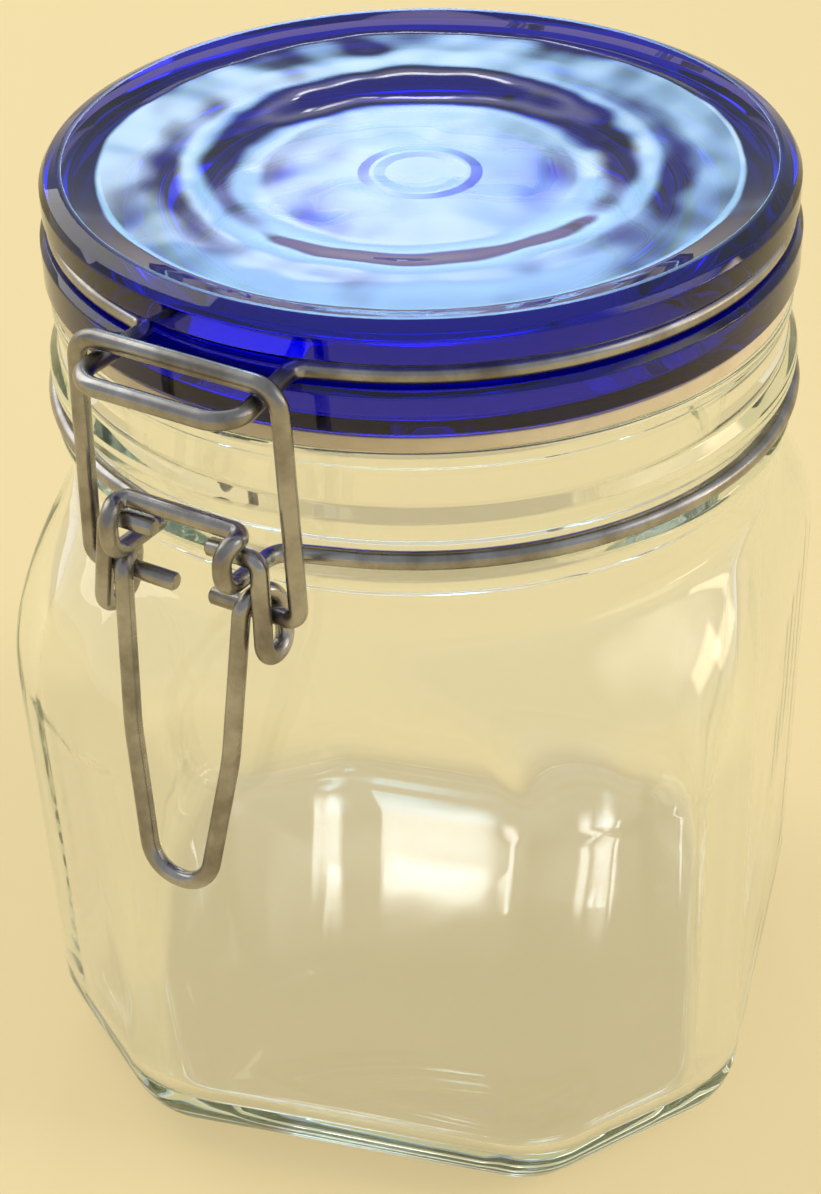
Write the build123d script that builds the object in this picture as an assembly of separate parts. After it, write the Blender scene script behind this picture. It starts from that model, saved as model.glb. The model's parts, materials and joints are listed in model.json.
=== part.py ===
from build123d import *
import math
import os

# A clip-top storage jar: square glass body with cut-off corners and a round neck, glass lid with a
# flat seal, and a toggle clasp of four bent wires. Millimetres, +Z up.
# The origin is the middle of the base. The clasp is at -Y and the lid's hinge at +Y.
# An "out" value is a distance from the jar's upright axis.

# Jar body
body_half = 54.5            # half the width across the flats
base_flat = 30.0            # half the length of a flat at the base; the square's corners are cut off
shoulder_flat = 34.0        # the same where the shoulder starts
body_corner = 14.0          # plan rounding between a flat and a cut corner
base_edge = 10.6            # rounding round the base
shoulder_low = 72.0
shoulder_high = 98.0
shoulder_fullness = 2.25    # above 1 the shoulder swells outwards
shoulder_steps = 6
body_turn = 15.5            # the square is turned by this much from the clasp
wall = 4.2
floor_thick = 6.5
inner_edge = 5.0
corner_room = 0.2           # a corner radius stays this much under half the width
half_turn = math.tan(math.pi / 8)   # half a side of an eight-sided outline, over half its width

# Neck and mouth, from the shoulder up
neck_waist = 50.9
neck_root = 7.0             # the neck starts this far down inside the shoulder
shoulder_tuck = 1.0         # the shoulder closes this far inside the neck
heel_low = 105.6            # soft ridge under the wire
heel_mid = 108.2
heel_high = 110.6
heel_radius = 52.9
bead_low = 113.7            # rounded bead over the wire
bead_mid = 116.7
bead_high = 119.4
bead_radius = 53.1
neck_radius = 51.5
lip_low = 125.4
lip_step = 0.4
lip_radius = 51.9
mouth_radius = 44.0
rim_z = 127.4
rim_rounding = 1.2

# Wire
wire_d = 2.5
wire_r = wire_d / 2
seat_gap = 0.08             # between a wire and the round seat that holds it
slot_play = 0.15            # between the lid's wire and the flanges over and under it
running_gap = 0.06          # between a wire pin and the bend round it

# Seal
seal_gap = 0.1
seal_top = 129.8
seal_inner = 42.6
seal_outer = 51.8
seal_rounding = 0.5

# Lid
lid_top = 145.0
crest_inner = 48.7          # narrow crest round the rim
crest_outer = 49.4
crest_fall = 0.05
brow_radius = 51.2          # outside the crest the rim falls away
brow_fall = 0.8
rim_fall = 1.8
upper_flange = 51.9
lower_flange = 52.5
flange_edge = 0.8
slope_foot = 44.2           # inside the crest the rim slopes down to here
slope_drop = 1.7
step_radius = 31.0
step_rise = 1.5
dish_radius = 24.2          # sunk middle
dish_z = 141.1
mark_inner = 6.0            # plain raised ring in the middle
mark_outer = 7.4
mark_rise = 0.4
plug_radius = 42.5          # skirt inside the seal
plug_inner = 38.5
plug_depth = 3.6
lid_floor = 135.6           # underside of the middle
floor_radius = 30.0
floor_bulge = 0.72

# Wire rings
ring_leave = 19.0           # degrees from the middle plane where a ring turns off
neck_ring_radius = 52.3
neck_ring_z = 112.0
lid_ring_radius = 50.3
lid_ring_z = 137.9

# Clasp axes
pivot_out = 60.6            # lever pins
pivot_z = 116.2
link_out = 58.8             # hoop pins
link_z = 107.3

# Front of the neck ring: two eyes for the lever pins and a bar between them
eye_x = 8.6
eye_r = wire_d + 0.1
eye_sag = 0.8               # the pins bear on the top of the eyes
eye_reach = 1.1             # the eyes run on in front of the pins
eye_top_bend = eye_r - 0.1
eye_low_bend = eye_r + 0.2
eye_foot_bend = 3.6
bar_x = 9.7
bar_out = 60.0
bar_rise = 0.4
bar_bend = 1.6

# Front of the lid ring: the catch that the hoop pulls on
catch_x = 10.7
catch_flare = 1.3           # the catch widens outwards
catch_out = 65.0
catch_corner = 4.0
catch_root_bend = 2.6

# Hoop
hoop_top_x = 14.9
hoop_foot_x = 16.0
hoop_out = 59.0
hoop_lift = 0.35            # bar above the catch
hoop_corner = 3.4
hoop_foot_bend = 2.0
link_tip_x = 2.8

# Lever: a handle loop, a crook round each hoop pin, then an arm up to each lever pin
handle_x = 4.4
handle_out = 67.3
handle_z = 64.8
handle_bend = 4.9
knee_x = 7.8
knee_z = 86.0
knee_bend = 40.0
leg_x = 9.2
crook_r = wire_d + running_gap
crook_back_x = 10.9
crook_foot_x = 12.3
crook_front_x = 12.6
crook_drop = 5.6            # below the hoop pins
crook_bend = 2.6
arm_bulge = 1.45            # the arms pass in front of the hoop pins
arm_x = 11.6
pivot_bend = 1.55
pivot_tip_x = 4.1

# Rear hinge: eyes on the neck ring and pins on the lid ring
hinge_out = 57.8
hinge_z = 118.5
hinge_eye_x = 9.0
hinge_eye_bend = eye_r - 0.1
hinge_foot_bend = 3.0
hinge_leg_x = 12.8
hinge_leave = 21.0
hinge_leg_bend = 2.4
hinge_pin_bend = 1.8
hinge_tip_x = 4.6

parts_folder = "parts"


def body_section(half, flat, corner, z):
    # A square with its corners cut off and all eight corners rounded.
    outline = Polygon(
        (half, -flat),
        (half, flat),
        (flat, half),
        (-flat, half),
        (-half, flat),
        (-half, -flat),
        (-flat, -half),
        (flat, -half),
        align=None,
    )
    return Plane.XY.offset(z) * fillet(outline.vertices(), min(corner, half - corner_room))


def body_form(inset, bottom, edge, low, high, top_radius):
    # The body's form, drawn in by inset, swelling in through the shoulder to a circle of top_radius.
    half = body_half - inset
    low_flat = base_flat - inset * half_turn
    high_flat = shoulder_flat - inset * half_turn
    corner = body_corner - inset
    ends = [body_section(half, low_flat, corner, bottom), body_section(half, high_flat, corner, low)]
    prism = loft(ends, ruled=True)
    prism = fillet(prism.faces().sort_by(Axis.Z)[0].edges(), edge)
    top_flat = top_radius * half_turn
    sections = []
    for step in range(shoulder_steps + 1):
        rise = step / shoulder_steps
        spread = 1 - rise ** shoulder_fullness
        sections.append(
            body_section(
                top_radius + (half - top_radius) * spread,
                top_flat + (high_flat - top_flat) * spread,
                top_radius + (corner - top_radius) * spread,
                low + (high - low) * rise,
            )
        )
    return prism + loft(sections)


def turned(outline):
    # One revolved solid from edges drawn as radius and height.
    return revolve(Plane.XZ * make_face(outline), Axis.Z)


def groove(radius, z):
    # Round seat for a wire ring.
    return Pos(0, 0, z) * Torus(radius, wire_r + seat_gap)


def neck():
    foot = shoulder_high - neck_root
    outline = [
        Polyline((0, foot), (neck_waist, foot), (neck_waist, heel_low)),
        ThreePointArc((neck_waist, heel_low), (heel_radius, heel_mid), (neck_waist, heel_high)),
        Line((neck_waist, heel_high), (neck_waist, bead_low)),
        ThreePointArc((neck_waist, bead_low), (bead_radius, bead_mid), (neck_radius, bead_high)),
        Polyline(
            (neck_radius, bead_high),
            (neck_radius, lip_low - lip_step),
            (lip_radius, lip_low),
            (lip_radius, rim_z),
            (0, rim_z),
            (0, foot),
        ),
    ]
    return turned(outline)


def jar_body():
    outer = body_form(0, 0, base_edge, shoulder_low, shoulder_high, neck_waist - shoulder_tuck)
    inner_low = shoulder_low - wall / 2
    inner_high = shoulder_high - wall / 2
    inner = body_form(wall, floor_thick, inner_edge, inner_low, inner_high, mouth_radius - shoulder_tuck)
    mouth_low = shoulder_high - neck_root
    mouth = Pos(0, 0, mouth_low) * extrude(Circle(mouth_radius), rim_z - mouth_low)
    form = Rot(0, 0, body_turn) * outer + neck()
    form -= Rot(0, 0, body_turn) * inner
    form -= mouth
    form -= groove(neck_ring_radius, neck_ring_z)
    rim_edges = form.faces().sort_by(Axis.Z)[-1].edges()
    return fillet(rim_edges, rim_rounding)


def lid_glass():
    slot_in = lid_ring_radius - wire_r
    slot_low = lid_ring_z - wire_r - slot_play
    slot_high = lid_ring_z + wire_r + slot_play
    plug_low = seal_top - plug_depth
    bulge_radius = floor_radius + (plug_inner - floor_radius) * floor_bulge
    bulge_z = plug_low + (lid_floor - plug_low) * floor_bulge
    upper_side = Polyline(
        (0, dish_z),
        (mark_inner, dish_z),
        (mark_inner + mark_rise, dish_z + mark_rise),
        (mark_outer - mark_rise, dish_z + mark_rise),
        (mark_outer, dish_z),
        (dish_radius, dish_z),
        (step_radius, dish_z + step_rise),
        (slope_foot, lid_top - slope_drop),
        (crest_inner, lid_top - crest_fall),
        (crest_outer, lid_top),
        (brow_radius, lid_top - brow_fall),
        (upper_flange, lid_top - rim_fall),
        (upper_flange, slot_high + flange_edge),
        (upper_flange - flange_edge, slot_high),
        (slot_in, slot_high),
        (slot_in, slot_low),
        (lower_flange - flange_edge, slot_low),
        (lower_flange, slot_low - flange_edge),
        (lower_flange, seal_top + flange_edge),
        (lower_flange - flange_edge, seal_top),
        (plug_radius, seal_top),
        (plug_radius, plug_low + flange_edge),
        (plug_radius - flange_edge, plug_low),
        (plug_inner, plug_low),
    )
    hollow = ThreePointArc((plug_inner, plug_low), (bulge_radius, bulge_z), (floor_radius, lid_floor))
    middle = Polyline((floor_radius, lid_floor), (0, lid_floor), (0, dish_z))
    return turned([upper_side, hollow, middle]) - groove(lid_ring_radius, lid_ring_z)


def gasket():
    bottom = rim_z + seal_gap
    ring = Circle(seal_outer) - Circle(seal_inner)
    band = extrude(Plane.XY.offset(bottom) * ring, seal_top - bottom)
    lower_rims = band.faces().sort_by(Axis.Z)[0].edges()
    return fillet(lower_rims, seal_rounding)


def swept(path):
    # Round wire along a path.
    section = Plane(origin=path @ 0, z_dir=path % 0) * Circle(wire_r)
    return sweep(section, path=path)


def both_sides(half):
    # Wire pieces are alike on both sides of the clasp's middle plane.
    return half + mirror(half, about=Plane.YZ)


def bent(points, radii):
    return FilletPolyline(*points, radius=radii)


def ring_run(radius, z, front_angle, rear_angle):
    # Stretch of a wire ring on the +X side, by angles from the front and from the back.
    return CenterArc((0, 0, z), radius, front_angle - 90, 180 - rear_angle - front_angle)


def ring_end(radius, angle):
    turn = math.radians(angle)
    return radius * math.sin(turn), radius * math.cos(turn)


def ring_corner(radius, angle, x):
    # Where the tangent from a ring's end reaches x, as x and distance out.
    turn = math.radians(angle)
    reach = (radius * math.sin(turn) - x) / math.cos(turn)
    return x, radius * math.cos(turn) + reach * math.sin(turn)


def neck_ring():
    start_x, start_out = ring_end(neck_ring_radius, ring_leave)
    front_x, front_out = ring_corner(neck_ring_radius, ring_leave, eye_x)
    rear_x, rear_out = ring_corner(neck_ring_radius, ring_leave, hinge_eye_x)
    eye_front = pivot_out + eye_r + eye_reach
    bar_z = pivot_z + eye_r + bar_rise
    front = bent(
        [
            (0, -bar_out, bar_z),
            (bar_x, -bar_out, bar_z),
            (eye_x, -eye_front, pivot_z + eye_r),
            (eye_x, -eye_front, pivot_z - eye_r - eye_sag),
            (front_x, -front_out, neck_ring_z),
            (start_x, -start_out, neck_ring_z),
        ],
        [bar_bend, eye_top_bend, eye_low_bend, eye_foot_bend],
    )
    run = ring_run(neck_ring_radius, neck_ring_z, ring_leave, ring_leave)
    rear = bent(
        [
            (start_x, start_out, neck_ring_z),
            (rear_x, rear_out, neck_ring_z),
            (hinge_eye_x, hinge_out + eye_r, hinge_z - eye_r),
            (hinge_eye_x, hinge_out + eye_r, hinge_z + eye_r),
            (hinge_eye_x, hinge_out - eye_r, hinge_z + eye_r),
        ],
        [hinge_foot_bend, hinge_eye_bend, hinge_eye_bend],
    )
    return both_sides(swept(Wire(front.edges() + [run.edge()] + rear.edges())))


def lid_ring():
    start_x, start_out = ring_end(lid_ring_radius, ring_leave)
    front_x, front_out = ring_corner(lid_ring_radius, ring_leave, catch_x)
    end_x, end_out = ring_end(lid_ring_radius, hinge_leave)
    rear_x, rear_out = ring_corner(lid_ring_radius, hinge_leave, hinge_leg_x)
    front = bent(
        [
            (0, -catch_out, lid_ring_z),
            (catch_x + catch_flare, -catch_out, lid_ring_z),
            (front_x, -front_out, lid_ring_z),
            (start_x, -start_out, lid_ring_z),
        ],
        [catch_corner, catch_root_bend],
    )
    run = ring_run(lid_ring_radius, lid_ring_z, ring_leave, hinge_leave)
    rear = bent(
        [
            (end_x, end_out, lid_ring_z),
            (rear_x, rear_out, lid_ring_z),
            (hinge_leg_x, hinge_out, lid_ring_z),
            (hinge_leg_x, hinge_out, hinge_z),
            (hinge_tip_x, hinge_out, hinge_z),
        ],
        [hinge_leg_bend, hinge_leg_bend, hinge_pin_bend],
    )
    return both_sides(swept(Wire(front.edges() + [run.edge()] + rear.edges())))


def lever():
    crook_low = link_z - crook_drop
    crook_high = link_z + crook_r
    crook_back = link_out - crook_r
    leg_out = link_out + crook_r
    lean = (handle_out - leg_out) / (link_z - handle_z)
    knee_out = leg_out + lean * (link_z - knee_z)
    half = bent(
        [
            (0, -handle_out, handle_z),
            (handle_x, -handle_out, handle_z),
            (knee_x, -knee_out, knee_z),
            (leg_x, -leg_out, crook_high),
            (crook_back_x, -crook_back, crook_high),
            (crook_foot_x, -crook_back, crook_low),
            (crook_front_x, -pivot_out - arm_bulge, crook_low),
            (arm_x, -pivot_out, pivot_z),
            (pivot_tip_x, -pivot_out, pivot_z),
        ],
        [handle_bend, knee_bend, crook_r, crook_r, crook_bend, crook_bend, pivot_bend],
    )
    return both_sides(swept(half))


def hoop():
    top_z = lid_ring_z + wire_d + hoop_lift
    half = bent(
        [
            (0, -hoop_out, top_z),
            (hoop_top_x, -hoop_out, top_z),
            (hoop_foot_x, -link_out, link_z),
            (link_tip_x, -link_out, link_z),
        ],
        [hoop_corner, hoop_foot_bend],
    )
    return both_sides(swept(half))


pieces = {
    "jar_body": jar_body,
    "lid_glass": lid_glass,
    "gasket": gasket,
    "neck_ring": neck_ring,
    "lid_ring": lid_ring,
    "lever": lever,
    "hoop": hoop,
}

os.makedirs(parts_folder, exist_ok=True)
for name, make in pieces.items():
    shape = make()
    export_step(shape, f"{parts_folder}/{name}.step")
    print(f"{name}: {len(shape.solids())} solid, {shape.volume:.0f} mm3")
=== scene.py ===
# Clip-top storage jar: clear pressed-glass body, cobalt glass lid, seal ring and a bent-wire clasp.
# The dictionaries hold millimetres and degrees, the frame holds metres. +Z is up,
# the clasp is at -Y, the lid's hinge is at +Y, and "out" is a distance from the jar's upright axis.
import json
import math

import bmesh
import bpy
from mathutils import Matrix, Vector, noise


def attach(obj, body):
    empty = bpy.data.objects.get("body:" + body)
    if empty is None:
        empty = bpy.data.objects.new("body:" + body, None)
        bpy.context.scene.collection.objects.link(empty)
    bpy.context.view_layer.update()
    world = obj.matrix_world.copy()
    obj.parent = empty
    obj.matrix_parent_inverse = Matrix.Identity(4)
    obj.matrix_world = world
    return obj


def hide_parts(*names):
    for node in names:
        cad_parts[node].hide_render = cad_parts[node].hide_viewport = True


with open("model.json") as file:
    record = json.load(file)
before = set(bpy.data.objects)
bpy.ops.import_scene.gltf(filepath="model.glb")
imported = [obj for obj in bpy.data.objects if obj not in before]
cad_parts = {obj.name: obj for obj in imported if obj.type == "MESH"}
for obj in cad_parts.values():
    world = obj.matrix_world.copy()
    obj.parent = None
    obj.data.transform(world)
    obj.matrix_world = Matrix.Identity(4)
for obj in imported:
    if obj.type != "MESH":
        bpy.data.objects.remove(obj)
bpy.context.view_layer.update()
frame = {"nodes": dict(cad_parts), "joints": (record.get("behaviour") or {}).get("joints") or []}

jointPlace = {joint["name"]: Vector(joint["pos_m"]) * 1000 for joint in frame["joints"]}
print("frame loaded:", ", ".join(sorted(frame["nodes"])))


def toMetres(millimetres):
    return millimetres / 1000


def linearColour(hexText):
    channels = [int(hexText[i:i + 2], 16) / 255 for i in (1, 3, 5)]
    linear = [c / 12.92 if c <= 0.04045 else ((c + 0.055) / 1.055) ** 2.4 for c in channels]
    return (*linear, 1.0)


def addNode(tree, kind, settings=None, inputs=None):
    node = tree.nodes.new(kind)
    for name, value in (settings or {}).items():
        setattr(node, name, value)
    for key, value in (inputs or {}).items():
        if isinstance(value, bpy.types.NodeSocket):
            tree.links.new(value, node.inputs[key])
        else:
            node.inputs[key].default_value = value
    return node


def emptyMaterial(name):
    material = bpy.data.materials.new(name)
    material.use_nodes = True
    material.node_tree.nodes.clear()
    return material, material.node_tree


# Finishes

clearGlassLook = {
    "tint": "#fdfefd",
    "depthColour": "#c3d6c4",     # what a long way through the glass leaves of white light
    "depthDensity": 8.0,          # per metre
    "ior": 1.52,
    "roughness": 0.0,
    "waveLength": 21.0,           # fine waves that pressing leaves in the skin
    "waveHeight": 0.05,
    "waveDetail": 1.0,
    "waveRoughness": 0.4,
}

cobaltGlassLook = {
    "tint": "#f4f6ff",
    "depthColour": "#3f26f3",
    "depthDensity": 300.0,
    "ior": 1.52,
    "roughness": 0.0,
    "waveLength": 26.0,
    "waveHeight": 0.08,
    "waveDetail": 2.0,
    "waveRoughness": 0.45,
}


def pressedGlass(name, look):
    # Glass pressed in a mould: a bright polished skin, and a colour that deepens with thickness.
    # The jar's is clear soda-lime glass, grey-green at thick edges; the lid's is cobalt.
    material, tree = emptyMaterial(name)
    place = addNode(tree, "ShaderNodeTexCoord").outputs["Object"]
    waves = addNode(tree, "ShaderNodeTexNoise", None, {
        "Vector": place, "Scale": 1 / toMetres(look["waveLength"]), "Detail": look["waveDetail"],
        "Roughness": look["waveRoughness"]})
    bump = addNode(tree, "ShaderNodeBump", None, {
        "Height": waves.outputs["Fac"], "Distance": toMetres(look["waveHeight"]), "Strength": 1.0})
    glass = addNode(tree, "ShaderNodeBsdfPrincipled", None, {
        "Base Color": linearColour(look["tint"]), "Transmission Weight": 1.0, "IOR": look["ior"],
        "Roughness": look["roughness"], "Normal": bump.outputs["Normal"]})
    depth = addNode(tree, "ShaderNodeVolumeAbsorption", None, {
        "Color": linearColour(look["depthColour"]), "Density": look["depthDensity"]})
    addNode(tree, "ShaderNodeOutputMaterial", None, {
        "Surface": glass.outputs["BSDF"], "Volume": depth.outputs["Volume"]})
    return material


sealLook = {
    "pale": "#e6d9bf",
    "deep": "#cdb892",
    "mottle": 6.0,              # size of the paler and deeper patches
    "mottleDetail": 3.0,
    "grit": 0.5,
    "gritDetail": 2.0,
    "gritHeight": 0.02,
    "roughness": 0.48,
    "ior": 1.45,
    "milkiness": 0.35,
    "milkDepth": (4.0, 3.0, 2.0),  # how far red, green and blue light go inside
}


def softSealRubber(look):
    # Moulded seal rubber, off-white and milky: soft light inside, a dull skin with a fine grit.
    material, tree = emptyMaterial("softSealRubber")
    place = addNode(tree, "ShaderNodeTexCoord").outputs["Object"]
    mottle = addNode(tree, "ShaderNodeTexNoise", None, {
        "Vector": place, "Scale": 1 / toMetres(look["mottle"]), "Detail": look["mottleDetail"]})
    shade = addNode(tree, "ShaderNodeValToRGB", None, {"Fac": mottle.outputs["Fac"]})
    shade.color_ramp.elements[0].color = linearColour(look["deep"])
    shade.color_ramp.elements[1].color = linearColour(look["pale"])
    grit = addNode(tree, "ShaderNodeTexNoise", None, {
        "Vector": place, "Scale": 1 / toMetres(look["grit"]), "Detail": look["gritDetail"]})
    bump = addNode(tree, "ShaderNodeBump", None, {
        "Height": grit.outputs["Fac"], "Distance": toMetres(look["gritHeight"])})
    rubber = addNode(tree, "ShaderNodeBsdfPrincipled", None, {
        "Base Color": shade.outputs["Color"], "Roughness": look["roughness"], "IOR": look["ior"],
        "Subsurface Weight": look["milkiness"],
        "Subsurface Radius": [toMetres(depth) for depth in look["milkDepth"]],
        "Normal": bump.outputs["Normal"]})
    addNode(tree, "ShaderNodeOutputMaterial", None, {"Surface": rubber.outputs["BSDF"]})
    return material


wireLook = {
    "bright": "#aeacaa",
    "dull": "#7a746e",
    "patch": 9.0,               # dull patches along the wire
    "patchDetail": 4.0,
    "patchRoughness": 0.6,
    "dullBelow": 0.3,           # noise values where the wire is fully dull and fully bright
    "brightAbove": 0.62,
    "smoothAbove": 0.65,
    "drawLine": 0.28,           # drawing lines, coarser than real ones so that they show
    "drawRun": 9.0,
    "drawDetail": 2.0,
    "drawHeight": 0.012,
    "drawStrength": 0.6,
    "roughLow": 0.22,
    "roughHigh": 0.36,
}


def drawnSteelWire(look):
    # Drawn steel wire: satin metal with fine lines along its length and dull, handled patches.
    material, tree = emptyMaterial("drawnSteelWire")
    place = addNode(tree, "ShaderNodeTexCoord").outputs["Object"]
    along = addNode(tree, "ShaderNodeAttribute", {"attribute_name": "along"}).outputs["Fac"]
    around = addNode(tree, "ShaderNodeAttribute", {"attribute_name": "around"}).outputs["Fac"]
    lineCount = math.pi * wireGauge["diameter"] / look["drawLine"]
    acrossLines = addNode(tree, "ShaderNodeMath", {"operation": "MULTIPLY"}, {0: around, 1: lineCount})
    alongLines = addNode(tree, "ShaderNodeMath", {"operation": "MULTIPLY"}, {
        0: along, 1: 1 / toMetres(look["drawRun"])})
    lineSpace = addNode(tree, "ShaderNodeCombineXYZ", None, {
        "X": acrossLines.outputs[0], "Y": alongLines.outputs[0]})
    lines = addNode(tree, "ShaderNodeTexNoise", None, {
        "Vector": lineSpace.outputs[0], "Scale": 1.0, "Detail": look["drawDetail"]})
    patches = addNode(tree, "ShaderNodeTexNoise", None, {
        "Vector": place, "Scale": 1 / toMetres(look["patch"]), "Detail": look["patchDetail"],
        "Roughness": look["patchRoughness"]})
    shade = addNode(tree, "ShaderNodeValToRGB", None, {"Fac": patches.outputs["Fac"]})
    shade.color_ramp.elements[0].position = look["dullBelow"]
    shade.color_ramp.elements[0].color = linearColour(look["dull"])
    shade.color_ramp.elements[1].position = look["brightAbove"]
    shade.color_ramp.elements[1].color = linearColour(look["bright"])
    rough = addNode(tree, "ShaderNodeMapRange", None, {
        "Value": patches.outputs["Fac"], "From Min": look["smoothAbove"], "From Max": look["dullBelow"],
        "To Min": look["roughLow"], "To Max": look["roughHigh"]})
    bump = addNode(tree, "ShaderNodeBump", None, {
        "Height": lines.outputs["Fac"], "Distance": toMetres(look["drawHeight"]),
        "Strength": look["drawStrength"]})
    steel = addNode(tree, "ShaderNodeBsdfPrincipled", None, {
        "Base Color": shade.outputs["Color"], "Metallic": 1.0, "Roughness": rough.outputs["Result"],
        "Normal": bump.outputs["Normal"]})
    addNode(tree, "ShaderNodeOutputMaterial", None, {"Surface": steel.outputs["BSDF"]})
    return material


wireGauge = {
    "diameter": 2.5,
    "sides": 28,
    "bendSteps": 12,
    "ringStep": 2.5,            # degrees between the points of a ring
    "endBevel": 0.3,
    "endGirth": 0.8,            # share of the wire's width that is left at a cut end
    "sharpAngle": 40,
}

clearGlass = pressedGlass("clearPressedGlass", clearGlassLook)
cobaltGlass = pressedGlass("cobaltPressedGlass", cobaltGlassLook)
sealRubber = softSealRubber(sealLook)
steelWire = drawnSteelWire(wireLook)
print("finishes made")


# Shared shapes

def outlineMesh(name, points, closed=False):
    # Corner points as (x, y, z, bend, girth) in millimetres, for a node tree that rounds them.
    mesh = bpy.data.meshes.new(name)
    links = [(i, i + 1) for i in range(len(points) - 1)]
    if closed:
        links.append((len(points) - 1, 0))
    mesh.from_pydata([[toMetres(c) for c in p[:3]] for p in points], links, [])
    bend = mesh.attributes.new("bend", "FLOAT", "POINT")
    bend.data.foreach_set("value", [toMetres(p[3]) for p in points])
    girth = mesh.attributes.new("girth", "FLOAT", "POINT")
    girth.data.foreach_set("value", [p[4] if len(p) > 4 else 1.0 for p in points])
    return mesh


def startTree(name, sizes):
    # A geometry tree with named inputs; returns it, its input sockets and their identifiers.
    tree = bpy.data.node_groups.new(name, "GeometryNodeTree")
    tree.interface.new_socket(name="Geometry", in_out="INPUT", socket_type="NodeSocketGeometry")
    tree.interface.new_socket(name="Geometry", in_out="OUTPUT", socket_type="NodeSocketGeometry")
    identifiers = {}
    for label, kind in sizes.items():
        made = tree.interface.new_socket(name=label, in_out="INPUT", socket_type=kind)
        identifiers[label] = made.identifier
    entry = addNode(tree, "NodeGroupInput")
    return tree, entry.outputs, identifiers


def endTree(tree, geometry, material):
    smooth = addNode(tree, "GeometryNodeSetShadeSmooth", None, {"Geometry": geometry})
    realized = addNode(tree, "GeometryNodeRealizeInstances", None, {"Geometry": smooth.outputs[0]})
    finished = addNode(tree, "GeometryNodeSetMaterial", None, {
        "Geometry": realized.outputs[0], "Material": material})
    addNode(tree, "NodeGroupOutput", None, {0: finished.outputs[0]})


def roundedCorners(tree, geometry, steps):
    curve = addNode(tree, "GeometryNodeMeshToCurve", None, {"Mesh": geometry})
    bend = addNode(tree, "GeometryNodeInputNamedAttribute", {"data_type": "FLOAT"}, {"Name": "bend"})
    return addNode(tree, "GeometryNodeFilletCurve", {"mode": "POLY"}, {
        "Curve": curve.outputs["Curve"], "Count": steps, "Radius": bend.outputs[0],
        "Limit Radius": True}).outputs[0]


def sweptWireTree():
    tree, sizes, identifiers = startTree("sweptWire", {
        "Wire radius": "NodeSocketFloat", "Sides": "NodeSocketInt", "Bend steps": "NodeSocketInt",
        "Finish": "NodeSocketMaterial"})
    path = roundedCorners(tree, sizes["Geometry"], sizes["Bend steps"])
    spline = addNode(tree, "GeometryNodeSplineParameter")
    path = addNode(tree, "GeometryNodeStoreNamedAttribute", {"data_type": "FLOAT", "domain": "POINT"}, {
        "Geometry": path, "Name": "along", "Value": spline.outputs["Length"]}).outputs[0]
    ring = addNode(tree, "GeometryNodeCurvePrimitiveCircle", {"mode": "RADIUS"}, {
        "Resolution": sizes["Sides"], "Radius": sizes["Wire radius"]})
    ring = addNode(tree, "GeometryNodeStoreNamedAttribute", {"data_type": "FLOAT", "domain": "POINT"}, {
        "Geometry": ring.outputs["Curve"], "Name": "around",
        "Value": spline.outputs["Factor"]}).outputs[0]
    girth = addNode(tree, "GeometryNodeInputNamedAttribute", {"data_type": "FLOAT"}, {"Name": "girth"})
    tube = addNode(tree, "GeometryNodeCurveToMesh", None, {
        "Curve": path, "Profile Curve": ring, "Scale": girth.outputs[0], "Fill Caps": True})
    endTree(tree, tube.outputs[0], sizes["Finish"])
    return tree, identifiers


def wavyTop(tree, geometry, sizes):
    # Lifts and lowers the top of a turned piece in slow waves that die away towards its rim.
    noiseMiddle = 0.5
    place = addNode(tree, "GeometryNodeInputPosition").outputs[0]
    waves = addNode(tree, "ShaderNodeTexNoise", None, {
        "Vector": place, "Scale": sizes["Wave scale"], "Detail": sizes["Wave detail"],
        "Roughness": sizes["Wave roughness"]})
    axes = addNode(tree, "ShaderNodeSeparateXYZ", None, {0: place}).outputs
    level = addNode(tree, "ShaderNodeCombineXYZ", None, {"X": axes["X"], "Y": axes["Y"]})
    radius = addNode(tree, "ShaderNodeVectorMath", {"operation": "LENGTH"}, {0: level.outputs[0]})
    inside = addNode(tree, "ShaderNodeMapRange", {"interpolation_type": "SMOOTHSTEP"}, {
        "Value": radius.outputs["Value"], "From Min": sizes["Wave end"], "From Max": sizes["Wave full"]})
    onTop = addNode(tree, "ShaderNodeMath", {"operation": "GREATER_THAN"}, {
        0: axes["Z"], 1: sizes["Wave above"]})
    lift = addNode(tree, "ShaderNodeMath", {"operation": "SUBTRACT"}, {
        0: waves.outputs["Fac"], 1: noiseMiddle})
    for share in (sizes["Wave height"], inside.outputs["Result"], onTop.outputs[0]):
        lift = addNode(tree, "ShaderNodeMath", {"operation": "MULTIPLY"}, {0: lift.outputs[0], 1: share})
    offset = addNode(tree, "ShaderNodeCombineXYZ", None, {"Z": lift.outputs[0]})
    return addNode(tree, "GeometryNodeSetPosition", None, {
        "Geometry": geometry, "Offset": offset.outputs[0]}).outputs[0]


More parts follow.
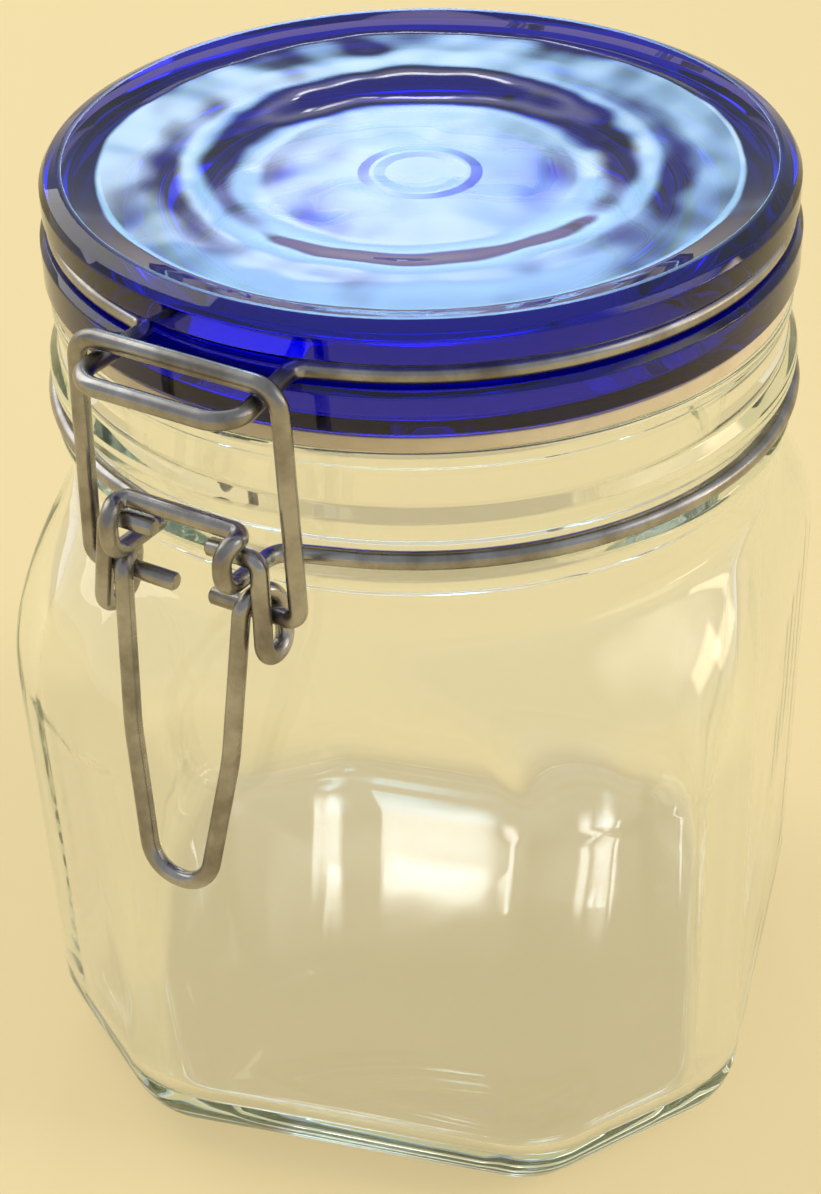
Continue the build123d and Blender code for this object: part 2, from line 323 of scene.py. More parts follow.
def turnedTree():
    # The outline is drawn as radius and minus height, and carried round a small circle.
    tree, sizes, identifiers = startTree("turnedPiece", {
        "Core radius": "NodeSocketFloat", "Sides": "NodeSocketInt", "Bend steps": "NodeSocketInt",
        "Weld": "NodeSocketFloat", "Wave scale": "NodeSocketFloat", "Wave detail": "NodeSocketFloat",
        "Wave roughness": "NodeSocketFloat", "Wave height": "NodeSocketFloat",
        "Wave full": "NodeSocketFloat", "Wave end": "NodeSocketFloat", "Wave above": "NodeSocketFloat",
        "Finish": "NodeSocketMaterial"})
    outline = roundedCorners(tree, sizes["Geometry"], sizes["Bend steps"])
    ring = addNode(tree, "GeometryNodeCurvePrimitiveCircle", {"mode": "RADIUS"}, {
        "Resolution": sizes["Sides"], "Radius": sizes["Core radius"]})
    upright = addNode(tree, "GeometryNodeSetCurveNormal", {"mode": "Z_UP"}, {"Curve": ring.outputs[0]})
    skin = addNode(tree, "GeometryNodeCurveToMesh", None, {
        "Curve": upright.outputs[0], "Profile Curve": outline})
    welded = addNode(tree, "GeometryNodeMergeByDistance", None, {
        "Geometry": wavyTop(tree, skin.outputs[0], sizes), "Distance": sizes["Weld"]})
    endTree(tree, welded.outputs[0], sizes["Finish"])
    return tree, identifiers


def grownMesh(name, outline, grower, values):
    # Runs a node tree on an outline and keeps the result as a plain mesh object.
    tree, identifiers = grower
    seed = bpy.data.objects.new(name + "Outline", outline)
    bpy.context.scene.collection.objects.link(seed)
    modifier = seed.modifiers.new("grow", "NODES")
    modifier.node_group = tree
    for label, value in values.items():
        modifier[identifiers[label]] = value
    seed.update_tag()
    evaluated = seed.evaluated_get(bpy.context.evaluated_depsgraph_get())
    mesh = bpy.data.meshes.new_from_object(evaluated)
    seed.modifiers.remove(modifier)
    bpy.data.objects.remove(seed)
    piece = bpy.data.objects.new(name, mesh)
    bpy.context.scene.collection.objects.link(piece)
    return piece


def outwardFaces(mesh, sharpAngle):
    shape = bmesh.new()
    shape.from_mesh(mesh)
    bmesh.ops.recalc_face_normals(shape, faces=shape.faces)
    shape.to_mesh(mesh)
    shape.free()
    mesh.set_sharp_from_angle(angle=math.radians(sharpAngle))


def settle(piece, body, node):
    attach(piece, body)
    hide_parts(node)
    print(f"{piece.name}: {len(piece.data.polygons)} faces on {body}")


# Jar body

jarShape = {
    "half": 54.5,               # half the width across the flats
    "turn": 15.5,               # the square is turned by this much from the clasp
    "baseFlat": 30.0,           # half the length of a flat; the square's corners are cut off
    "shoulderFlat": 34.0,
    "corner": 14.0,             # plan rounding between a flat and a cut corner
    "cornerSpare": 0.1,         # what a rounding leaves of the half width at the neck
    "baseEdge": 10.6,           # rounding from the wall to the underside
    "shoulderLow": 72.0,        # heights between which the shoulder closes in
    "shoulderHigh": 98.0,
    "fullness": 2.25,           # power of the shoulder's curve
    "tuck": 49.9,               # radius that the shoulder closes to, inside the neck
    "waist": 50.9,
    "neckBlend": 2.4,
    "wall": 4.2,
    "floor": 6.5,
    "innerEdge": 5.0,
    "innerEase": 8.0,           # extra corner rounding inside, where pressed glass is thicker
    "mouth": 44.0,
    "innerTuck": 43.0,
    "mouthBlend": 5.0,
    "punt": 0.8,                # gentle hollow under the base
    "puntShare": 0.9,           # share of the base that it takes up
    "puntPower": 4,
    "flatSteps": 8,             # mesh steps on half a flat, a rounded corner and half a cut corner
    "cornerSteps": 16,
    "cutSteps": 6,
    "edgeSteps": 14,            # mesh steps up a base edge, a wall, and a shoulder outside and inside
    "wallSteps": 40,
    "shoulderSteps": 28,
    "innerShoulderSteps": 30,
    "neckStepAngle": 9.0,
    "underShares": (0.02, 0.15, 0.3, 0.45, 0.6, 0.72, 0.8, 0.86, 0.9, 0.95),
    "floorShares": (0.95, 0.85, 0.7, 0.5, 0.25, 0.02),
    "ripple": 0.1,              # uneven pressing outside, and more inside
    "innerRipple": 0.2,
    "rippleLength": 30.0,
    "sharpAngle": 60,
}

neckLine = [                    # radius, height, bend
    (50.9, 104.0, 0.0),
    (50.9, 105.4, 2.0),
    (52.8, 107.5, 1.6),
    (52.8, 109.0, 1.4),
    (50.95, 110.9, 0.7),
    (50.95, 113.4, 0.7),
    (52.9, 115.3, 1.6),
    (53.0, 117.6, 1.8),
    (51.5, 119.6, 1.4),
    (51.5, 125.0, 0.4),
    (51.9, 125.5, 0.4),
    (51.9, 127.4, 1.2),
    (44.0, 127.4, 1.2),
    (44.0, 108.0, 0.0),
]

eighthSide = math.tan(math.pi / 8)  # half a side of an eight-sided outline, over half its width


def cornerSpan(half, flat, corner):
    # Angles from the middle of a flat where a rounded corner starts and ends.
    pull = corner * (1 - math.sqrt(0.5))
    return math.atan2(flat - corner * eighthSide, half), math.atan2(flat + pull, half - pull)


def bodyReach(half, flat, corner, angle):
    # How far out a square with cut-off, rounded corners stands at this angle.
    folded = angle % (math.pi / 2)
    folded = min(folded, math.pi / 2 - folded)
    across, aside = math.cos(folded), math.sin(folded)
    arcStart, arcEnd = cornerSpan(half, flat, corner)
    if folded <= arcStart:
        return half / across
    if folded >= arcEnd:
        return (half + flat) / (across + aside)
    middleX = half - corner
    middleY = flat - corner * eighthSide
    toward = across * middleX + aside * middleY
    return toward + math.sqrt(max(toward ** 2 - middleX ** 2 - middleY ** 2 + corner ** 2, 0))


def ringTurns(outline, evenness, shape):
    # Angles round one ring from the middle of a flat: they follow the rounded corners below and
    # even out towards the neck.
    arcStart, arcEnd = cornerSpan(*outline)
    spans = [
        (0, arcStart, shape["flatSteps"]),
        (arcStart, arcEnd, shape["cornerSteps"]),
        (arcEnd, math.pi / 4, shape["cutSteps"]),
    ]
    eighth = [start + (end - start) * i / steps for start, end, steps in spans for i in range(steps)]
    quarter = eighth + [math.pi / 4] + [math.pi / 2 - turn for turn in reversed(eighth[1:])]
    around = [turn + side * math.pi / 2 for side in range(4) for turn in quarter]
    step = 2 * math.pi / len(around)
    return [turn + (i * step - turn) * evenness for i, turn in enumerate(around)]


def smoothMax(first, second, width):
    # The larger of two sizes, with a rounded change from one to the other.
    share = min(max(0.5 + 0.5 * (first - second) / width, 0.0), 1.0)
    return second + (first - second) * share + width * share * (1 - share)


def cornerTurn(before, corner, after):
    # A corner's place, the directions from it to its neighbours, its turn, and how far its bend
    # takes up the straights on both sides.
    at = Vector(corner[:2])
    inward = (Vector(before[:2]) - at).normalized()
    outward = (Vector(after[:2]) - at).normalized()
    turn = math.pi - inward.angle(outward)
    return at, inward, outward, turn, corner[2] * math.tan(turn / 2)


def roundedLine(points, stepAngle):
    # Replaces each corner of a line of (radius, height, bend) by an arc.
    slightTurn = math.radians(0.6)
    line = [points[0][:2]]
    for before, corner, after in zip(points, points[1:], points[2:]):
        at, inward, outward, turn, reach = cornerTurn(before, corner, after)
        if corner[2] == 0 or turn < slightTurn:
            line.append(tuple(at))
            continue
        middle = at + (inward + outward).normalized() * (corner[2] / math.cos(turn / 2))
        start = at + inward * reach - middle
        steps = max(2, round(math.degrees(turn) / stepAngle))
        spin = math.copysign(turn / steps, inward.cross(outward) * -1)
        for i in range(steps + 1):
            line.append(tuple(middle + Matrix.Rotation(spin * i, 2) @ start))
    line.append(points[-1][:2])
    return line


def jarLevels(shape):
    # Levels from the middle of the underside, up the outside, over the rim and down the inside,
    # each as height, body outline (half width, half flat, corner), round radius, blend, ripple.
    def outlineAt(z, inset, ease=0.0):
        slope = (shape["shoulderFlat"] - shape["baseFlat"]) / shape["shoulderLow"]
        flat = shape["baseFlat"] + slope * z
        return shape["half"] - inset, flat - inset * eighthSide, shape["corner"] - inset + ease

    def shoulderAt(z, inset, ease, close, low, high):
        rise = max(z - low, 0) / (high - low)
        spread = 1 - rise ** shape["fullness"]
        wide, wideFlat, wideCorner = outlineAt(shape["shoulderLow"], inset, ease)
        half = close + (wide - close) * spread
        flat = close * eighthSide + (wideFlat - close * eighthSide) * max(spread, 0)
        corner = close + (wideCorner - close) * max(spread, 0)
        return half, flat, min(corner, half - shape["cornerSpare"])

    levels = []
    edge, edgeSteps = shape["baseEdge"], shape["edgeSteps"]
    for share in shape["underShares"]:
        lift = shape["punt"] * max(1 - (share / shape["puntShare"]) ** shape["puntPower"], 0)
        levels.append((lift, [size * share for size in outlineAt(0, edge)], None, 0, 0))
    for i in range(edgeSteps + 1):
        swing = math.radians(90 * i / edgeSteps)
        z = edge * (1 - math.cos(swing))
        levels.append((z, outlineAt(z, edge * (1 - math.sin(swing))), None, 0, shape["ripple"]))
    wallSteps = shape["wallSteps"]
    for i in range(1, wallSteps):
        z = edge + (shape["shoulderLow"] - edge) * i / wallSteps
        levels.append((z, outlineAt(z, 0), None, 0, shape["ripple"]))
    neckStart, shoulderSteps = neckLine[0][1], shape["shoulderSteps"]
    for i in range(shoulderSteps + 1):
        z = shape["shoulderLow"] + (neckStart - shape["shoulderLow"]) * i / shoulderSteps
        outline = shoulderAt(z, 0, 0, shape["tuck"], shape["shoulderLow"], shape["shoulderHigh"])
        levels.append((z, outline, shape["waist"], shape["neckBlend"], shape["ripple"]))
    for radius, z in roundedLine(neckLine, shape["neckStepAngle"])[1:]:
        levels.append((z, None, radius, 0, 0))
    wall, ease = shape["wall"], shape["innerEase"]
    innerLow = shape["shoulderLow"] - wall / 2
    innerHigh = shape["shoulderHigh"] - wall / 2
    mouthEnd, innerSteps = neckLine[-1][1], shape["innerShoulderSteps"]
    for i in range(1, innerSteps + 1):
        z = mouthEnd + (innerLow - mouthEnd) * i / innerSteps
        outline = shoulderAt(z, wall, ease, shape["innerTuck"], innerLow, innerHigh)
        levels.append((z, outline, shape["mouth"], shape["mouthBlend"], shape["innerRipple"]))
    innerEdge = shape["innerEdge"]
    floor = shape["floor"]
    for i in range(1, wallSteps):
        z = innerLow + (floor + innerEdge - innerLow) * i / wallSteps
        levels.append((z, outlineAt(z, wall, ease), None, 0, shape["innerRipple"]))
    for i in range(edgeSteps + 1):
        swing = math.radians(90 * i / edgeSteps)
        z = floor + innerEdge * (1 - math.sin(swing))
        inset = wall + innerEdge * (1 - math.cos(swing))
        levels.append((z, outlineAt(z, inset, ease), None, 0, shape["innerRipple"]))
    foot = outlineAt(floor, wall + innerEdge, ease)
    for share in shape["floorShares"]:
        levels.append((floor, [size * share for size in foot], None, 0, 0))
    return levels


def jarRing(level, shape):
    # One level's points, in metres, with its ripple.
    z, outline, radius, blend, ripple = level
    low, high = shape["shoulderLow"], shape["shoulderHigh"]
    evenness = 0.0
    if radius is not None:
        evenness = min(max((z - low) / (high - low), 0.0), 1.0)
    plain = (shape["half"], shape["shoulderFlat"], shape["corner"])
    spacing = plain if radius is not None else outline
    ring = []
    for turn in ringTurns(spacing, evenness, shape):
        angle = turn + math.radians(shape["turn"])
        reach = radius
        if outline is not None:
            reach = bodyReach(*outline, turn)
            if radius is not None:
                reach = smoothMax(reach, radius, blend)
        x = reach * math.cos(angle)
        y = reach * math.sin(angle)
        if ripple:
            swell = ripple * noise.noise(Vector((x, y, z)) / shape["rippleLength"])
            x += swell * math.cos(angle)
            y += swell * math.sin(angle)
        ring.append((toMetres(x), toMetres(y), toMetres(z)))
    return ring


def makeJar(shape):
    levels = jarLevels(shape)
    sides = 8 * (shape["flatSteps"] + shape["cornerSteps"] + shape["cutSteps"])
    points = [point for level in levels for point in jarRing(level, shape)]
    faces = []
    for row in range(len(levels) - 1):
        here, above = row * sides, (row + 1) * sides
        for i in range(sides):
            j = (i + 1) % sides
            faces.append((here + i, here + j, above + j, above + i))
    last = (len(levels) - 1) * sides
    faces.append(tuple(reversed(range(sides))))
    faces.append(tuple(range(last, last + sides)))
    mesh = bpy.data.meshes.new("jarGlass")
    mesh.from_pydata(points, [], faces)
    mesh.materials.append(clearGlass)
    mesh.polygons.foreach_set("use_smooth", [True] * len(mesh.polygons))
    piece = bpy.data.objects.new("jarGlass", mesh)
    bpy.context.scene.collection.objects.link(piece)
    return piece


jarGlass = makeJar(jarShape)
outwardFaces(jarGlass.data, jarShape["sharpAngle"])
settle(jarGlass, "jar", "jar_body")


# Lid and seal

lidLine = [                     # radius, height, bend
    (0.0, 141.1, 0.0),
    (4.8, 141.1, 4.0),
    (6.4, 141.18, 4.0),
    (7.0, 141.18, 4.0),
    (8.6, 141.1, 4.0),
    (24.2, 141.1, 28.0),
    (31.0, 142.6, 28.0),
    (37.0, 142.72, 60.0),
    (44.2, 143.3, 6.0),
    (48.7, 144.95, 0.5),
    (49.4, 145.0, 0.3),
    (51.2, 144.2, 0.8),
    (51.9, 143.2, 0.6),
    (51.9, 140.1, 0.4),
    (51.1, 139.3, 0.3),
    (49.0, 139.3, 0.3),
    (49.0, 136.5, 0.3),
    (51.7, 136.5, 0.3),
    (52.5, 135.7, 0.5),
    (52.5, 130.6, 0.5),
    (51.7, 129.8, 0.3),
    (42.5, 129.8, 0.3),
    (42.5, 127.0, 0.4),
    (41.7, 126.2, 0.4),
    (38.5, 126.2, 0.6),
    (36.2, 132.4, 5.0),
    (30.0, 135.6, 6.0),
    (0.0, 135.6, 0.0),
]

sealLine = [                    # radius, height, bend
    (42.6, 127.5, 0.5),
    (51.8, 127.5, 0.5),
    (51.8, 129.75, 0.2),
    (42.6, 129.75, 0.2),
]

turning = {
    "core": 1.0,                # radius of the small circle that an outline is carried round
    "sides": 288,
    "bendSteps": 8,
    "longestStep": 1.4,
    "weld": 0.002,
    "sharpAngle": 50,
}

lidWaves = {
    "length": 26.0,             # slow waves that pressing leaves in the top
    "detail": 2.0,
    "roughness": 0.45,
    "height": 1.1,
    "full": 43.0,               # radius where they start to die away
    "end": 48.0,
    "above": 140.5,             # only the top has them
}


def finerLine(line, longest):
    # Adds points along the straights, clear of the bends, so that waves can show in them.
    bends = [cornerTurn(*line[i - 1:i + 2])[-1] for i in range(1, len(line) - 1)]
    reaches = [0.0] + bends + [0.0]
    finer = [line[0]]
    for i in range(1, len(line)):
        start, end = Vector(line[i - 1][:2]), Vector(line[i][:2])
        length = (end - start).length
        free = length - reaches[i - 1] - reaches[i]
        steps = int(free / longest)
        for step in range(1, steps):
            share = (reaches[i - 1] + free * step / steps) / length
            finer.append((*start.lerp(end, share), 0.0))
        finer.append(line[i])
    return finer


def turnedPiece(name, line, finish, closed=False, waveHeight=0.0):
    core = turning["core"]
    outline = outlineMesh(name, [(radius - core, -z, 0.0, bend) for radius, z, bend in line], closed)
    piece = grownMesh(name, outline, turnedGrower, {
        "Core radius": toMetres(core), "Sides": turning["sides"], "Bend steps": turning["bendSteps"],
        "Weld": toMetres(turning["weld"]), "Wave scale": 1 / toMetres(lidWaves["length"]),
        "Wave detail": lidWaves["detail"], "Wave roughness": lidWaves["roughness"],
        "Wave height": toMetres(waveHeight), "Wave full": toMetres(lidWaves["full"]),
        "Wave end": toMetres(lidWaves["end"]), "Wave above": toMetres(lidWaves["above"]),
        "Finish": finish})
    outwardFaces(piece.data, turning["sharpAngle"])
    return piece


turnedGrower = turnedTree()
fineLid = finerLine(lidLine, turning["longestStep"])
lidGlass = turnedPiece("lidGlass", fineLid, cobaltGlass, waveHeight=lidWaves["height"])
settle(lidGlass, "lid", "lid_glass")
sealRing = turnedPiece("sealRing", sealLine, sealRubber, closed=True)
settle(sealRing, "lid", "gasket")


# Bent wires, drawn as half a path from the clasp's middle plane to one end, then mirrored

def ringArc(radius, z, start, end):
    # Points round a ring on the +X side, by angles from the front.
    count = round((end - start) / wireGauge["ringStep"])
    turns = [math.radians(start + (end - start) * i / count) for i in range(count + 1)]
    return [(radius * math.sin(turn), -radius * math.cos(turn), z, 0.0) for turn in turns]


def ringCorner(radius, leave, x):
    # How far out the tangent from a ring's end is when it reaches x.
    turn = math.radians(leave)
    reach = (radius * math.sin(turn) - x) / math.cos(turn)
    return radius * math.cos(turn) + reach * math.sin(turn)


def wholePath(half):
    # Adds the small bevel at the cut end and the mirrored other half.
    end = Vector(half[-1][:3])
    back = (Vector(half[-2][:3]) - end).normalized() * wireGauge["endBevel"]
    half = [(*point, 1.0) for point in half[:-1]]
    half += [(*(end + back), 0.0, 1.0), (*end, 0.0, wireGauge["endGirth"])]
    mirrored = [(-point[0], *point[1:]) for point in reversed(half)]
    return mirrored + half


def bentWire(name, half):
    piece = grownMesh(name, outlineMesh(name, wholePath(half)), wireGrower, {
        "Wire radius": toMetres(wireGauge["diameter"] / 2), "Sides": wireGauge["sides"],
        "Bend steps": wireGauge["bendSteps"], "Finish": steelWire})
    outwardFaces(piece.data, wireGauge["sharpAngle"])
    return piece


wireGrower = sweptWireTree()
pivotOut = -jointPlace["lever_lift"].y
pivotZ = jointPlace["lever_lift"].z
linkOut = -jointPlace["hoop_swing"].y
linkZ = jointPlace["hoop_swing"].z
hingeOut = jointPlace["lid_hinge"].y
hingeZ = jointPlace["lid_hinge"].z

neckRingShape = {
    "radius": 52.3, "z": 112.0, "leave": 19.0,
    "barX": 9.7, "barOut": 60.0, "barRise": 3.0, "barBend": 1.6,
    "eyeX": 8.6, "eyeTop": 2.6, "eyeLow": 3.4, "eyeFront": 3.7,
    "topBend": 2.5, "lowBend": 2.8, "footBend": 3.6,
    "hingeX": 9.0, "hingeEye": 2.6, "hingeBend": 2.5, "hingeFootBend": 3.0,
}


def neckRingPath(shape):
    frontOut = ringCorner(shape["radius"], shape["leave"], shape["eyeX"])
    rearOut = ringCorner(shape["radius"], shape["leave"], shape["hingeX"])
    eyeFront = pivotOut + shape["eyeFront"]
    eye = shape["hingeEye"]
    front = [
        (shape["barX"], -shape["barOut"], pivotZ + shape["barRise"], shape["barBend"]),
        (shape["eyeX"], -eyeFront, pivotZ + shape["eyeTop"], shape["topBend"]),
        (shape["eyeX"], -eyeFront, pivotZ - shape["eyeLow"], shape["lowBend"]),
        (shape["eyeX"], -frontOut, shape["z"], shape["footBend"]),
    ]
    rear = [
        (shape["hingeX"], rearOut, shape["z"], shape["hingeFootBend"]),
        (shape["hingeX"], hingeOut + eye, hingeZ - eye, shape["hingeBend"]),
        (shape["hingeX"], hingeOut + eye, hingeZ + eye, shape["hingeBend"]),
        (shape["hingeX"], hingeOut - eye, hingeZ + eye, 0.0),
    ]
    return front + ringArc(shape["radius"], shape["z"], shape["leave"], 180 - shape["leave"]) + rear


lidRingShape = {
    "radius": 50.3, "z": 137.9, "leave": 19.0,
    "catchX": 10.7, "catchFlare": 1.3, "catchOut": 65.0, "catchBend": 4.0, "rootBend": 2.6,
    "hingeLeave": 21.0, "legX": 12.8, "legBend": 2.4, "pinBend": 1.8, "tipX": 4.6,
}


def lidRingPath(shape):
    frontOut = ringCorner(shape["radius"], shape["leave"], shape["catchX"])
    rearOut = ringCorner(shape["radius"], shape["hingeLeave"], shape["legX"])
    front = [
        (shape["catchX"] + shape["catchFlare"], -shape["catchOut"], shape["z"], shape["catchBend"]),
        (shape["catchX"], -frontOut, shape["z"], shape["rootBend"]),
    ]
    rear = [
        (shape["legX"], rearOut, shape["z"], shape["legBend"]),
        (shape["legX"], hingeOut, shape["z"], shape["legBend"]),
        (shape["legX"], hingeOut, hingeZ, shape["pinBend"]),
        (shape["tipX"], hingeOut, hingeZ, 0.0),
    ]
    return front + ringArc(shape["radius"], shape["z"], shape["leave"], 180 - shape["hingeLeave"]) + rear


leverShape = {
    "handleX": 4.4, "handleOut": 67.3, "handleZ": 64.8, "handleBend": 4.9,
    "kneeX": 7.8, "kneeZ": 86.0, "kneeBend": 40.0,
    "legX": 9.2, "crook": 2.56, "backX": 10.9,
    "footX": 12.3, "frontX": 12.6, "drop": 5.6, "footBend": 2.6,
    "bulge": 1.45, "armX": 11.6, "pinBend": 1.55, "tipX": 4.1,
}


def leverPath(shape):
    crook = shape["crook"]
    legOut = linkOut + crook
    lean = (shape["handleOut"] - legOut) / (linkZ - shape["handleZ"])
    kneeOut = legOut + lean * (linkZ - shape["kneeZ"])
    footZ = linkZ - shape["drop"]
    return [
        (shape["handleX"], -shape["handleOut"], shape["handleZ"], shape["handleBend"]),
        (shape["kneeX"], -kneeOut, shape["kneeZ"], shape["kneeBend"]),
        (shape["legX"], -legOut, linkZ + crook, crook),
        (shape["backX"], crook - linkOut, linkZ + crook, crook),
        (shape["footX"], crook - linkOut, footZ, shape["footBend"]),
        (shape["frontX"], -pivotOut - shape["bulge"], footZ, shape["footBend"]),
        (shape["armX"], -pivotOut, pivotZ, shape["pinBend"]),
        (shape["tipX"], -pivotOut, pivotZ, 0.0),
    ]


hoopShape = {
    "topX": 14.9, "topOut": 59.0, "topZ": 140.75, "topBend": 3.4,
    "footX": 16.0, "footBend": 2.0, "tipX": 2.8,
}


def hoopPath(shape):
    return [
        (shape["topX"], -shape["topOut"], shape["topZ"], shape["topBend"]),
        (shape["footX"], -linkOut, linkZ, shape["footBend"]),
        (shape["tipX"], -linkOut, linkZ, 0.0),
    ]


settle(bentWire("neckRing", neckRingPath(neckRingShape)), "jar", "neck_ring")
settle(bentWire("lidRing", lidRingPath(lidRingShape)), "lid", "lid_ring")
settle(bentWire("leverWire", leverPath(leverShape)), "lever", "lever")
settle(bentWire("hoopWire", hoopPath(hoopShape)), "hoop", "hoop")


# Floor, light and camera

stageLook = {
    "floorColour": "#f6e0a8",
    "floorSize": 60000.0,       # reaches the horizon, so that no corner of it shows
    "floorDrop": 0.05,          # just below the base, so that the two faces don't mix
    "floorRoughness": 0.7,
    "floorGlow": 0.55,          # share of the floor that eye, mirror and glass see as its plain colour
    "horizonColour": "#fbefd6",
    "horizonStrength": 1.0,
    "zenithColour": "#dfe6ee",
    "zenithStrength": 0.65,
    "zenithFrom": 0.3,          # height on the unit sky where the zenith's grey is reached
}

lightBounces = {"total": 96, "glossy": 96, "transmission": 96}  # enough for thick glass edges

skyWindows = [
    # soft-edged bright windows in the studio sky:
    # azimuth, elevation, half width, half height, soft edge, colour, strength
    (120.6, 21.0, 3.2, 10.0, 3.6, "#a8dcff", 5.6),
    (121.8, 26.0, 2.4, 3.0, 4.0, "#ffffff", 2.4),
    (120.6, 38.5, 10.0, 2.5, 5.0, "#ffffff", 1.2),
    (120.8, 40.2, 1.8, 1.0, 1.4, "#ffffff", 8.0),
    (116.7, 40.6, 0.5, 0.9, 0.7, "#ffffff", 8.0),
    (34.0, 14.0, 9.0, 4.0, 3.0, "#ffe9c8", 6.0),
    (20.0, 32.0, 15.0, 12.0, 10.0, "#fff4e4", 1.5),
]


def makeFloor(look):
    # Matt paint that keeps the jar's shadow, lightened for the eye without lighting the jar.
    material, tree = emptyMaterial("paleFloor")
    paint = addNode(tree, "ShaderNodeBsdfPrincipled", None, {
        "Base Color": linearColour(look["floorColour"]), "Roughness": look["floorRoughness"]})
    glow = addNode(tree, "ShaderNodeEmission", None, {"Color": linearColour(look["floorColour"])})
    rays = addNode(tree, "ShaderNodeLightPath").outputs
    seen = rays["Is Camera Ray"]
    for kind in ("Is Glossy Ray", "Is Transmission Ray"):
        seen = addNode(tree, "ShaderNodeMath", {"operation": "MAXIMUM"}, {
            0: seen, 1: rays[kind]}).outputs[0]
    share = addNode(tree, "ShaderNodeMath", {"operation": "MULTIPLY"}, {0: seen, 1: look["floorGlow"]})
    both = addNode(tree, "ShaderNodeMixShader", None, {
        0: share.outputs[0], 1: paint.outputs["BSDF"], 2: glow.outputs["Emission"]})
    addNode(tree, "ShaderNodeOutputMaterial", None, {"Surface": both.outputs["Shader"]})
    material.cycles.emission_sampling = "NONE"
    reach = toMetres(look["floorSize"] / 2)
    drop = toMetres(-look["floorDrop"])
    mesh = bpy.data.meshes.new("floor")
    corners = [(-reach, -reach, drop), (reach, -reach, drop), (reach, reach, drop), (-reach, reach, drop)]
    mesh.from_pydata(corners, [], [(0, 1, 2, 3)])
    mesh.materials.append(material)
    floor = bpy.data.objects.new("floor", mesh)
    bpy.context.scene.collection.objects.link(floor)


def skyDirection(azimuth, elevation):
    # A direction by its angle from +X towards +Y and its angle above the floor.
    turn, lift = math.radians(azimuth), math.radians(elevation)
    return Vector((math.cos(turn) * math.cos(lift), math.sin(turn) * math.cos(lift), math.sin(lift)))


def windowLight(tree, toward, window):
    # A window's colour, and its strength where a ray goes: full inside it, fading over its soft
    # edges, none on the far side of the sky.
    azimuth, elevation, halfWidth, halfHeight, softEdge, colour, strength = window
    middle = skyDirection(azimuth, elevation)
    side = skyDirection(azimuth + 90, 0)
    for axis, half in ((side, halfWidth), (middle.cross(side), halfHeight), (middle, None)):
        along = addNode(tree, "ShaderNodeVectorMath", {"operation": "DOT_PRODUCT"}, {
            0: toward, 1: axis}).outputs["Value"]
        if half is None:
            inside = addNode(tree, "ShaderNodeMath", {"operation": "GREATER_THAN"}, {0: along, 1: 0.0})
        else:
            apart = addNode(tree, "ShaderNodeMath", {"operation": "ABSOLUTE"}, {0: along})
            inside = addNode(tree, "ShaderNodeMapRange", {"interpolation_type": "SMOOTHSTEP"}, {
                "Value": apart.outputs[0],
                "From Min": math.sin(math.radians(half + softEdge / 2)),
                "From Max": math.sin(math.radians(half - softEdge / 2))})
        strength = addNode(tree, "ShaderNodeMath", {"operation": "MULTIPLY"}, {
            0: inside.outputs[0], 1: strength}).outputs[0]
    return linearColour(colour), strength


def makeWorld(look):
    # A pale horizon under a greyer sky, the same for every kind of ray, with the bright windows.
    world = bpy.data.worlds.new("studio")
    bpy.context.scene.world = world
    world.use_nodes = True
    tree = world.node_tree
    tree.nodes.clear()
    toward = addNode(tree, "ShaderNodeTexCoord").outputs["Generated"]
    height = addNode(tree, "ShaderNodeSeparateXYZ", None, {0: toward}).outputs["Z"]
    rise = addNode(tree, "ShaderNodeMapRange", {"interpolation_type": "SMOOTHSTEP"}, {
        "Value": height, "From Min": 0.0, "From Max": look["zenithFrom"]}).outputs["Result"]
    low = addNode(tree, "ShaderNodeBackground", None, {
        "Color": linearColour(look["horizonColour"]), "Strength": look["horizonStrength"]})
    high = addNode(tree, "ShaderNodeBackground", None, {
        "Color": linearColour(look["zenithColour"]), "Strength": look["zenithStrength"]})
    sky = addNode(tree, "ShaderNodeMixShader", None, {0: rise, 1: low.outputs[0], 2: high.outputs[0]})
    for window in skyWindows:
        colour, strength = windowLight(tree, toward, window)
        glow = addNode(tree, "ShaderNodeBackground", None, {"Color": colour, "Strength": strength})
        sky = addNode(tree, "ShaderNodeAddShader", None, {0: sky.outputs[0], 1: glow.outputs[0]})
    addNode(tree, "ShaderNodeOutputWorld", None, {"Surface": sky.outputs[0]})


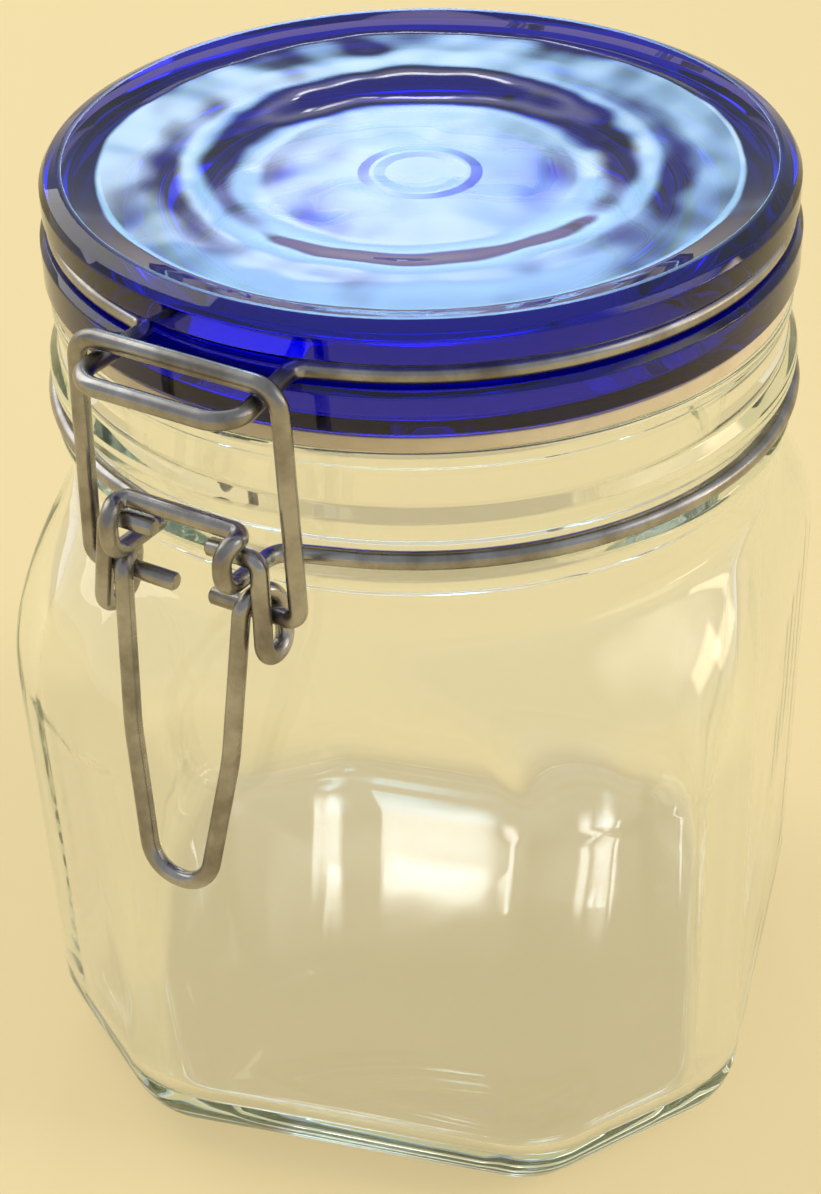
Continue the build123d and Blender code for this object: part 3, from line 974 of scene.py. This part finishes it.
softboxes = [
    # name, place, aim, width, height, watts, colour, whether glass and metal show it
    ("leftBox", (-950, 100, 800), (0, 0, 80), 900, 1000, 5.5, "#fffaf2", True),
    ("rightBox", (900, 250, 700), (0, 0, 80), 200, 700, 4.0, "#fffaf2", False),
]


def makeSoftbox(name, place, aim, width, height, watts, colour, shown):
    lamp = bpy.data.lights.new(name, "AREA")
    lamp.shape = "RECTANGLE"
    lamp.size = toMetres(width)
    lamp.size_y = toMetres(height)
    lamp.energy = watts
    lamp.color = linearColour(colour)[:3]
    box = bpy.data.objects.new(name, lamp)
    box.location = toMetres(Vector(place))
    box.rotation_euler = (Vector(aim) - Vector(place)).to_track_quat("-Z", "Y").to_euler()
    box.visible_camera = False
    box.visible_glossy = shown
    box.visible_transmission = shown
    bpy.context.scene.collection.objects.link(box)


viewpoint = {
    "place": (162.1, -273.7, 290.7),
    "heading": -31.12,          # from +Y towards +X
    "downTilt": 34.73,
    "roll": -1.35,
    "lens": 76.2,
    "sensor": 36,               # along the picture's long side
    "nearest": 10,
}


def makeCamera(look):
    forward = skyDirection(90 - look["heading"], -look["downTilt"])
    level = skyDirection(-look["heading"], 0)
    roll = math.radians(look["roll"])
    upward = level.cross(forward)
    right = level * math.cos(roll) + upward * math.sin(roll)
    up = upward * math.cos(roll) - level * math.sin(roll)
    lens = bpy.data.cameras.new("camera")
    lens.lens = look["lens"]
    lens.sensor_width = look["sensor"]
    lens.clip_start = toMetres(look["nearest"])
    camera = bpy.data.objects.new("camera", lens)
    facing = Matrix((right, up, -forward)).transposed().to_4x4()
    camera.matrix_world = Matrix.Translation(toMetres(Vector(look["place"]))) @ facing
    bpy.context.scene.collection.objects.link(camera)
    bpy.context.scene.camera = camera


makeFloor(stageLook)
makeWorld(stageLook)
for softbox in softboxes:
    makeSoftbox(*softbox)
makeCamera(viewpoint)
bpy.context.scene.view_settings.view_transform = "Standard"
bpy.context.scene.cycles.max_bounces = lightBounces["total"]
bpy.context.scene.cycles.glossy_bounces = lightBounces["glossy"]
bpy.context.scene.cycles.transmission_bounces = lightBounces["transmission"]
print("floor, light and camera set")
